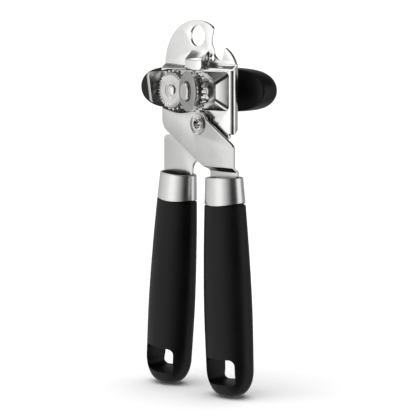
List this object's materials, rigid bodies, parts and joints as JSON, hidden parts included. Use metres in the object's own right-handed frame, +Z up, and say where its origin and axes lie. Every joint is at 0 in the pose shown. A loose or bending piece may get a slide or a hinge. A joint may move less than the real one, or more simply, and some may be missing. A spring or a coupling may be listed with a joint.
{
  "type": "manual can opener",
  "caption": "Hand can opener: crossed sheet-steel arms with oval black grips, a geared feed wheel and cutting wheel in front, a bar knob behind and a cap lifter at the top.",
  "frame": {"origin": "centre of the hanging hole, on the front face of the upper head plate", "axes": "+Z up from the grips to the head, +Y from the wheels back to the knob, +X across the head towards the cutting wheel and the cap lifter"},
  "size_m": [0.0987, 0.0465, 0.2025],
  "materials": {
    "plate_steel": "satin stainless steel sheet",
    "ferrule_steel": "fine brushed stainless steel",
    "wheel_steel": "turned hardened steel",
    "gear_steel": "pressed steel, slightly darker",
    "rivet_steel": "polished steel",
    "grip_plastic": "matte black, finely textured",
    "knob_plastic": "matte black"
  },
  "bodies": {
    "rear_arm": {"head_plate": "plate_steel", "left_ferrule": "ferrule_steel", "left_grip": "grip_plastic", "pivot_rivet": "rivet_steel", "pivot_washer": "gear_steel", "cutter_stud": "rivet_steel", "cutter_spacer": "rivet_steel", "cutter_washer": "gear_steel", "stud_washer": "gear_steel"},
    "front_arm": {"front_plate": "plate_steel", "right_ferrule": "ferrule_steel", "right_grip": "grip_plastic", "shaft_bushing": "rivet_steel"},
    "drive": {"drive_shaft": "rivet_steel", "feed_wheel": "wheel_steel", "drive_gear": "gear_steel", "gear_spacer": "rivet_steel", "thrust_washer": "gear_steel", "knob": "knob_plastic", "knob_pin": "rivet_steel"},
    "cutter": {"cutting_wheel": "wheel_steel", "cutter_gear": "gear_steel"}
  },
  "joints": [
    {"name": "arm_pivot", "type": "hinge", "parent": "rear_arm", "child": "front_arm", "pos_m": [0.006, -0.003, -0.0472], "axis": [0, -1, 0], "range_deg": [0, 28]},
    {"name": "drive_turn", "type": "hinge", "parent": "front_arm", "child": "drive", "pos_m": [-0.0087, -0.003, -0.0292], "axis": [0, 1, 0], "continuous": true},
    {"name": "cutter_turn", "type": "hinge", "parent": "rear_arm", "child": "cutter", "pos_m": [0.00965, -0.01736, -0.0292], "axis": [0.342, 0.9397, 0], "continuous": true}
  ],
  "couplings": [
    {"joint": "cutter_turn", "follows": "drive_turn", "ratio": -1}
  ]
}
